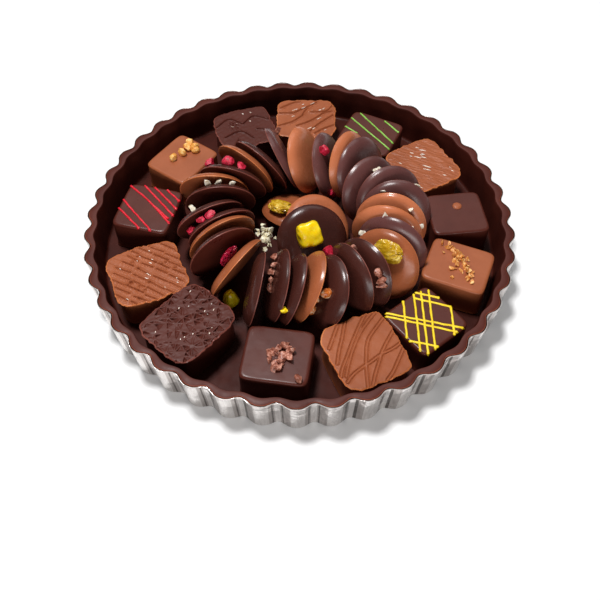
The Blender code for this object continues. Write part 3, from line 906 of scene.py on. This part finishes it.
def wave_relief(x, y):
    """Curved steps that rise across the plate."""
    height = grooves(x, y, lines_off_photo("praline_waves", STEP_PIXELS), 0.65, 0.38, 0.0, 0.3)
    return height + 0.05 * wave_field(24, 2.4)(x, y) - 0.1


RELIEFS = {
    "praline_relief": line_relief,
    "praline_waves": wave_relief,
    "praline_bark": bark_relief,
    "praline_swirl": swirl_relief,
    "praline_crackle": crackle_relief,
    "praline_wood": wood_relief,
}


# name: how many painted glints a plate shows as pale slivers, the way they run, least and greatest length
PAINTED_GLINTS = {
    "praline_bark": (18, -53, 1.2, 4.4),
    "praline_waves": (12, 34, 1.2, 3.8),
    "praline_wood": (14, -48, 0.6, 2.0),
    "praline_crackle": (13, 20, 0.3, 1.2),
    "praline_relief": (5, -45, 0.6, 1.2),
}


# Drizzle and toppings

TUBE_SIDES = 10


def tube(path, radii, flat=0.75):
    """A low rounded bead along a path, closed at its ends."""
    path = np.asarray(path, float)
    run = np.gradient(path, axis=0)
    run /= np.linalg.norm(run, axis=1)[:, None] + 1e-9
    side = np.cross(run, (0, 0, 1.0))
    side /= np.linalg.norm(side, axis=1)[:, None] + 1e-9
    lift = np.cross(side, run)
    turn = -TAU * np.arange(TUBE_SIDES) / TUBE_SIDES
    rings = []
    for centre, across, up, radius in zip(path, side, lift, radii):
        rings.append(centre + radius * (np.cos(turn)[:, None] * across + flat * np.sin(turn)[:, None] * up))
    return rings_body(rings)


def bead_along(corners, width, depth, top, radius, seed, blobs):
    """One drizzled line over a praline's top, thicker where it starts and ends."""
    path = curve_through(corners, 48)
    away = np.concatenate(((0,), np.cumsum(np.linalg.norm(np.diff(path, axis=0), axis=1))))
    wobble = wave_field(seed, 5.0)
    path = path + np.stack((0.07 * wobble(away, 3.0), 0.07 * wobble(away, 9.0)), 1)
    height = coated_top(path[:, 0], path[:, 1], width, depth, top)
    thick = radius * (1 + 0.09 * wave_field(seed + 1, 4.0)(away, 0.0))
    left = away[-1] - away
    start, end = np.exp(-(away / 0.9) ** 2), np.exp(-(left / 0.9) ** 2)
    thick = thick * (1 + (blobs[0] - 1) * start + (blobs[1] - 1) * end)
    taper = np.sqrt(np.clip(np.minimum(away, left) / 0.5 + 0.08, 0.08, 1))
    points = np.column_stack((path, height + radius * 0.32))
    return tube(points, thick * taper)


def join_parts(parts):
    """Several sets of points and faces as one."""
    points, faces, start = [], [], 0
    for some, their_faces in parts:
        points.append(some)
        faces += [tuple(v + start for v in face) for face in their_faces]
        start += len(some)
    return np.concatenate(points), faces


def make_painted_glints():
    """Small pale slivers strewn over the plates at random, standing in for glints: painted highlight."""
    steps = np.linspace(0, 1, 9)
    hump = np.sin(steps * math.pi)
    for name, (count, way, least, most) in PAINTED_GLINTS.items():
        x, y, turn, width, depth, top = PLATED[name][:6]
        rng = np.random.default_rng(len(name))
        parts = []
        for _ in range(count):
            angle = math.radians(way + rng.uniform(-7, 7))
            ax, ay = rng.uniform(-0.38, 0.38) * width, rng.uniform(-0.38, 0.38) * depth
            length = rng.uniform(least, most)
            bx, by = ax + length * math.cos(angle), ay + length * math.sin(angle)
            px, py = ax + (bx - ax) * steps, ay + (by - ay) * steps
            bend = rng.uniform(-0.14, 0.14) * hump
            path = np.column_stack((px + bend, py + bend, np.full(len(steps), top - 0.02)))
            thick = rng.uniform(0.2, 0.28) * (0.35 + 0.65 * hump) * rng.uniform(0.8, 1.2, len(steps))
            parts.append(tube(path, thick, 0.7))
        points, faces = join_parts(parts)
        add_piece(
            name.replace("praline", "flecks"), turned(points, x, y, turn), faces, ["fleck"],
        )


def make_drizzle():
    plans = (
        ("praline_green_lines", "green", GREEN_LINES, 0.44, (1.1, 1.4)),
        ("praline_red_lines", "red", RED_LINES, 0.5, (1.1, 2.0)),
        ("praline_yellow_grid", "yellow", YELLOW_LINES, 0.48, (1.4, 1.7)),
    )
    for name, colour, lines, radius, blobs in plans:
        x, y, turn, width, depth, top, _ = COATED[name]
        parts = []
        for index, line in enumerate(lines):
            parts.append(bead_along(line, width, depth, top, radius, 50 + index, blobs))
        points, faces = join_parts(parts)
        points = turned(points, x, y, turn)
        add_piece("drizzle_" + colour, points, faces, [colour])


@functools.cache
def ball(level):
    """Points and faces of a ball of radius one, which callers don't change."""
    mesh = bmesh.new()
    bmesh.ops.create_icosphere(mesh, subdivisions=level, radius=1.0)
    points = np.array([v.co for v in mesh.verts])
    faces = [tuple(v.index for v in f.verts) for f in mesh.faces]
    mesh.free()
    return points, faces


def chunk(seed, size, planes, cut, rough, stretch=(1, 1, 1)):
    """A broken piece: a ball cut by random planes, then roughened."""
    rng = np.random.default_rng(seed)
    points, faces = ball(3)
    points = points.copy()
    for _ in range(planes):
        direction = rng.normal(size=3)
        direction /= np.linalg.norm(direction)
        over = np.clip(points @ direction - rng.uniform(*cut), 0, None)
        points -= np.outer(over, direction)
    bumpy = wave_field(seed + 7, 0.9)
    points *= 1 + rough * bumpy(points[:, 0], points[:, 1], points[:, 2] * 2)[:, None]
    return points * np.array(stretch) * size / 2, faces


def wrinkled(seed, length, width, height):
    """A dried berry: a flattened ball with deep wrinkles that run along it."""
    points, faces = ball(5)
    ridge = wave_field(seed, 0.55, 18)
    broad = wave_field(seed + 1, 1.4)
    x, y, z = points.T
    crease = np.abs(ridge(x * 0.6, y * 1.5, z * 1.5))
    scale = 1 + 0.14 * (0.5 - crease) + 0.08 * broad(x, y, z)
    return points * scale[:, None] * np.array((length, width, height)) / 2, faces


def any_turn(seed):
    """A random turn in space, as rows of a matrix."""
    rng = np.random.default_rng(seed)
    q = rng.normal(size=4)
    w, x, y, z = q / np.linalg.norm(q)
    return np.array((
        (1 - 2 * (y * y + z * z), 2 * (x * y - z * w), 2 * (x * z + y * w)),
        (2 * (x * y + z * w), 1 - 2 * (x * x + z * z), 2 * (y * z - x * w)),
        (2 * (x * z - y * w), 2 * (y * z + x * w), 1 - 2 * (x * x + y * y)),
    ))


# Discs

def facing(bearing, tilt):
    """Axes of a disc: along it level, up it, and out of its dome."""
    side, rise = math.radians(bearing), math.radians(tilt)
    out = Vector((math.cos(side) * math.cos(rise), math.sin(side) * math.cos(rise), math.sin(rise)))
    along = Vector((-math.sin(side), math.cos(side), 0))
    return along, out.cross(along), out


def disc_matrix(centre, bearing, tilt):
    turn = Matrix(facing(bearing, tilt)).transposed().to_4x4()
    return Matrix.Translation(Vector(centre)) @ turn


def ring_matrix(bearing, distance, turn, lean):
    angle = math.radians(bearing)
    height = DISC_FOOT + DISC_RADIUS * math.cos(math.radians(lean))
    centre = (distance * math.cos(angle), distance * math.sin(angle), height)
    return disc_matrix(centre, bearing - 90 + turn, lean)


def disc_plans():
    plans = {}
    for group, discs in RING.items():
        for number, (chocolate, *how) in enumerate(discs, 1):
            plans[f"disc_{group}_{number}"] = (chocolate, ring_matrix(*how))
    for name, chocolate, x, y, z, bearing, tilt in MIDDLE:
        plans[name] = (chocolate, disc_matrix((x, y, z), bearing, tilt))
    return plans


DISCS = disc_plans()


def dome_height(reach):
    """Height of a poured disc's dome, by the share of its radius."""
    return DISC_THICKNESS * np.clip(1 - np.clip(reach, 0, 1) ** 6, 0, 1) ** 0.62


def make_disc(name, chocolate, matrix, seed):
    angle = TAU * np.arange(DISC_SIDES) / DISC_SIDES
    rng = np.random.default_rng(seed)
    uneven = sum(rng.uniform(-1, 1) * np.cos(k * angle + rng.uniform(0, TAU)) / k for k in (2, 3, 4, 5, 7))
    radius = DISC_RADIUS - 0.12 - 0.1 * (1 + uneven)
    swell = wave_field(seed, 18.0)
    fine = wave_field(seed + 3, 5.0)
    back = []
    for share in (0.05, 0.3, 0.6, 0.8, 0.93, 0.978):
        reach = share * DISC_RADIUS
        dip = 0.06 * (1 - share) * (1 + swell(reach * np.cos(angle), reach * np.sin(angle)))
        back.append(ring_at(angle, share * radius, np.clip(dip, 0, None)))
    edge = []
    for share, height in ((0.998, 0.02), (1.0, 0.16), (0.997, 0.42)):
        edge.append(ring_at(angle, share * radius, height))
    dome = []
    for share in np.concatenate((1 - np.linspace(0.012, 0.5, 16) ** 1.25 * 1.1, np.linspace(0.4, 0.04, 6))):
        ring = ring_at(angle, share * radius, 0.0)
        x, y = ring[:, 0], ring[:, 1]
        z = dome_height(share) + 0.05 * swell(x, y) * (1 - share ** 4) + 0.012 * fine(x, y)
        dome.append(ring_at(angle, share * radius, np.maximum(z, 0.44)))
    points, faces = rings_body(back + edge + dome)
    slots = np.ones(len(faces), int)
    first = (len(back) - 1) * DISC_SIDES
    slots[:first] = 0
    # The disc's thin rim takes the lighter edge copy: a painted rim highlight
    slots[first:first + len(edge) * DISC_SIDES] = 2
    # Back, right and lower middle discs take the lighter dome copy as painted light; the rest take the glossy
    # copy, which for dark chocolate is darker as painted shade
    painted_lit = name.startswith(("disc_back", "disc_right", "disc_middle_low"))
    finishes = [chocolate + finish for finish in ("", "_dome" if painted_lit else "_gloss", "_edge")]
    add_piece(
        name.replace("disc", "button"), moved(points, matrix), faces, finishes,
        (name,), face_slots=slots,
    )


def on_disc(name, along, up, height, spin=0.0):
    """Matrix for something that lies on a disc's dome."""
    place = Matrix.Translation(Vector((along, up, height)))
    return DISCS[name][1] @ place @ Matrix.Rotation(math.radians(spin), 4, "Z")


def make_crumbs():
    plan = {
        "nibs": dict(planes=12, cut=(0.35, 0.75), rough=0.09, stretch=(1.15, 0.8, 0.8)),
        "caramel": dict(planes=6, cut=(0.7, 0.9), rough=0.05, stretch=(1.1, 0.9, 0.9)),
        "raspberry": dict(planes=11, cut=(0.45, 0.8), rough=0.07),
        "white": dict(planes=11, cut=(0.3, 0.7), rough=0.1, stretch=(1.2, 0.9, 0.8)),
        "yellow": dict(planes=8, cut=(0.5, 0.8), rough=0.05),
    }
    finish = {"yellow": "mango"}  # the other kinds have a material of their own name
    for kind, discs in CRUMBS.items():
        places = [("disc_" + disc, *spot) for disc, spots in discs.items() for spot in spots]
        parts = []
        for index, (disc, along, up, size) in enumerate(places):
            seed = 100 + index * 3 + len(kind)
            points, faces = chunk(seed, size * BIT_SCALE, **plan[kind])
            reach = math.hypot(along, up) / DISC_RADIUS
            height = float(dome_height(reach)) + size * 0.3
            parts.append((moved(points @ any_turn(seed).T, on_disc(disc, along, up, height)), faces))
        points, faces = join_parts(parts)
        add_piece("bits_" + kind, points, faces, [finish.get(kind, kind)], crease=30)


def on_praline(name, x, y, size, seed, **how):
    """A broken piece that lies on a coated praline's top, sunk in a little."""
    cx, cy, turn, width, depth, height, _ = COATED[name]
    points, faces = chunk(seed, size, **how)
    points = points @ any_turn(seed).T
    low = points[:, 2].min()
    top = float(coated_top(np.array(x), np.array(y), width, depth, height))
    points = points + np.array((x, y, top - low - 0.15 * size))
    return turned(points, cx, cy, turn), faces


def scatter(praline, piece, material, spots, **how):
    """Broken pieces on a praline, at spots of x, y, size and seed, as one piece."""
    points, faces = join_parts([on_praline(praline, *spot, **how) for spot in spots])
    add_piece(piece, points, faces, [material], crease=30)


def nib_spots(rng):
    """A round heap of nibs, and one that lies apart."""
    count = 15
    spots = []
    for index in range(count):
        away, angle = 5.2 * math.sqrt(rng.uniform(0, 1)), rng.uniform(0, TAU)
        x, y = 1.4 + away * math.cos(angle), -1.4 + 1.1 * away * math.sin(angle)
        if index == count - 1:
            x, y = 11.0, -10.5
        spots.append((x, y, rng.uniform(4.6, 6.0), 200 + index))
    return spots


def gold_spots(rng):
    """Golden crumbs along their trail, some of them strewn beside it."""
    trail = curve_through([off_photo(COATED["praline_gold_crumbs"], pixel) for pixel in GOLD_PIXELS], 60)
    spots = []
    for index in range(46):
        x, y = trail[rng.integers(0, len(trail))] + rng.normal(size=2) * 0.9
        if index % 6 == 0:
            x, y = x + rng.uniform(-6, 2), y + rng.uniform(-6, 1)
        if abs(x) <= 12 and abs(y) <= 10.5:
            spots.append((x, y, rng.uniform(2.0, 3.8), 300 + index))
    return spots


def nut_spots(rng):
    """Nuts as pairs of pieces side by side."""
    spots = []
    for index, pixel in enumerate(NUT_PIXELS):
        x, y = off_photo(COATED["praline_nuts"], pixel)
        for part, off in enumerate((-0.5, 0.5)):
            spots.append((x + off, y - off, rng.uniform(3.8, 4.6), 400 + 2 * index + part))
    return spots


def make_praline_toppings():
    rng = np.random.default_rng(77)
    scatter("praline_cocoa_nibs", "topping_nibs", "nibs", nib_spots(rng),
            planes=9, cut=(0.35, 0.7), rough=0.07, stretch=(1.2, 0.85, 0.7))
    scatter("praline_gold_crumbs", "topping_crumbs", "golden", gold_spots(rng),
            planes=9, cut=(0.25, 0.65), rough=0.1, stretch=(1.25, 0.9, 0.6))
    scatter("praline_nuts", "topping_nuts", "nuts", nut_spots(rng),
            planes=5, cut=(0.6, 0.9), rough=0.04, stretch=(1.0, 1.0, 0.85))

    x, y, turn, _, _, top, _ = COATED["praline_milk_dot"]
    sides = 64
    angle = TAU * np.arange(sides) / sides
    profile = ((2.1, -0.2), (2.25, 0.05), (2.2, 0.35), (1.95, 0.62), (1.5, 0.8), (0.9, 0.9), (0.3, 0.93))
    rings = []
    for reach, height in profile:
        across, along = 1.0 + reach * np.cos(angle), 3.8 + reach * 0.95 * np.sin(angle)
        rings.append(np.stack((across, along, np.full(sides, top + height)), 1))
    points, faces = rings_body(rings)
    add_piece("topping_dot", turned(points, x, y, turn), faces, ["milk"])


def soft_block(seed, sizes, round_off):
    """A diced piece of fruit: a block with soft corners, dimpled all over."""
    points, faces = ball(5)
    stretch = (np.abs(points) ** round_off).sum(1) ** (-1 / round_off)
    points = points * stretch[:, None]
    dimple = wave_field(seed, 0.8, 16)
    broad = wave_field(seed + 2, 2.2)
    x, y, z = points.T
    scale = 1 + 0.03 * dimple(x, y, z) + 0.05 * broad(x, y, z)
    return points * scale[:, None] * np.array(sizes) / 2, faces


def make_toppings():
    points, faces = soft_block(5, (10.4, 11.0, 7.6), 6.0)
    place = on_disc("disc_middle_top", -2.3, 3.6, DISC_THICKNESS + 3.9, 6)
    add_piece("mango_block", moved(points, place), faces, ["mango"], ("mango_cube",))

    chip_height = 8.4
    points, faces = soft_block(9, (7.4, 7.6, chip_height), 3.4)
    share = (points[:, 2] + chip_height / 2) / chip_height
    points[:, :2] *= (1.12 - 0.62 * share)[:, None]
    points[:, 2] += chip_height / 2 + DISC_FOOT
    points = turned(points, -31.5, -37.5, 40)
    add_piece("mango_chip", points, faces, ["mango"], ("mango_piece",))

    for name, disc, along, up, height, spin, sizes, material in (
        ("raisin_middle", "disc_middle_back", 5.9, 9.2, 2.1, 10, (11.0, 10.6, 4.2), "raisin"),
        ("raisin_right", "disc_front_8", 0.9, 9.4, 2.1, 15, (13.5, 9.6, 4.2), "raisin"),
        ("cranberry", "disc_left_10", 1.0, 6.0, 2.1, 0, (9.0, 13.0, 4.0), "cranberry"),
    ):
        points, faces = wrinkled(len(name) * 5, *(1.05 * size for size in sizes))
        place = on_disc(disc, along, up, DISC_THICKNESS + height, spin)
        add_piece("dried_" + name, moved(points, place), faces, [material], (name,))

    rng = np.random.default_rng(61)
    parts = []
    for index in range(44):
        centre = rng.normal(size=3) * (2.0, 2.9, 1.6)
        points, faces = chunk(500 + index, rng.uniform(2.2, 3.6), planes=12, cut=(0.25, 0.7), rough=0.1)
        points = points @ any_turn(index).T + centre + np.array((-15.8, -9.8, 19.2))
        parts.append((points, faces))
    points, faces = join_parts(parts)
    add_piece("grain_heap", points, faces, ["grain"], ("puffed_grains",), crease=30)


# Stage

def make_stage():
    mesh = bpy.data.meshes.new("studio_floor")
    mesh.from_pydata([(-3, -3, 0), (3, -3, 0), (3, 3, 0), (-3, 3, 0)], [], [(0, 1, 2, 3)])
    mesh.materials.append(make_floor_material())
    floor = bpy.data.objects.new("studio_floor", mesh)
    floor.location.z = -0.0002
    bpy.context.scene.collection.objects.link(floor)


# Each lamp's name, place in metres, size in metres and power in watts; all aim at the part's middle
LAMPS = (
    ("lamp_key", (-0.2, 0.15, 1.03), (0.2, 0.2), 10.4),
    ("lamp_panel", (0.05, 0.62, 0.78), (1.0, 0.6), 2.0),
    ("lamp_front", (0.0, -1.0, 0.3), (1.1, 0.3), 6.0),
)


def make_lamp(name, place, size, power):
    data = bpy.data.lights.new(name, "AREA")
    data.shape = "RECTANGLE"
    data.size, data.size_y = size
    data.energy = power
    lamp = bpy.data.objects.new(name, data)
    lamp.location = place
    lamp.rotation_euler = (Vector((0, 0, 0)) - Vector(place)).to_track_quat("-Z", "Y").to_euler()
    bpy.context.scene.collection.objects.link(lamp)


def make_studio():
    scene = bpy.context.scene
    scene.view_settings.view_transform = "Standard"
    world = bpy.data.worlds.new("studio_world")
    scene.world = world
    world.use_nodes = True
    back = world.node_tree.nodes["Background"]
    back.inputs["Color"].default_value = (1.0, 1.0, 1.0, 1.0)
    back.inputs["Strength"].default_value = 0.1
    for lamp in LAMPS:
        make_lamp(*lamp)
    camera_data = bpy.data.cameras.new("photo_camera")
    camera_data.lens = LENS
    camera_data.sensor_width = SENSOR
    camera_data.clip_start = 0.01
    camera = bpy.data.objects.new("photo_camera", camera_data)
    camera.location = CAMERA_PLACE
    camera.rotation_euler = (math.radians(CAMERA_TILT), 0, 0)
    scene.collection.objects.link(camera)
    scene.camera = camera


def main():
    make_tin()
    make_shell()
    for name, row in COATED.items():
        make_coated(name, *row)
    for name, row in PLATED.items():
        make_plated(name, *row, RELIEFS[name])
    for index, (name, (chocolate, matrix)) in enumerate(DISCS.items()):
        make_disc(name, chocolate, matrix, 900 + index * 5)
    make_painted_glints()
    make_drizzle()
    make_crumbs()
    make_praline_toppings()
    make_toppings()
    make_stage()
    make_studio()


main()
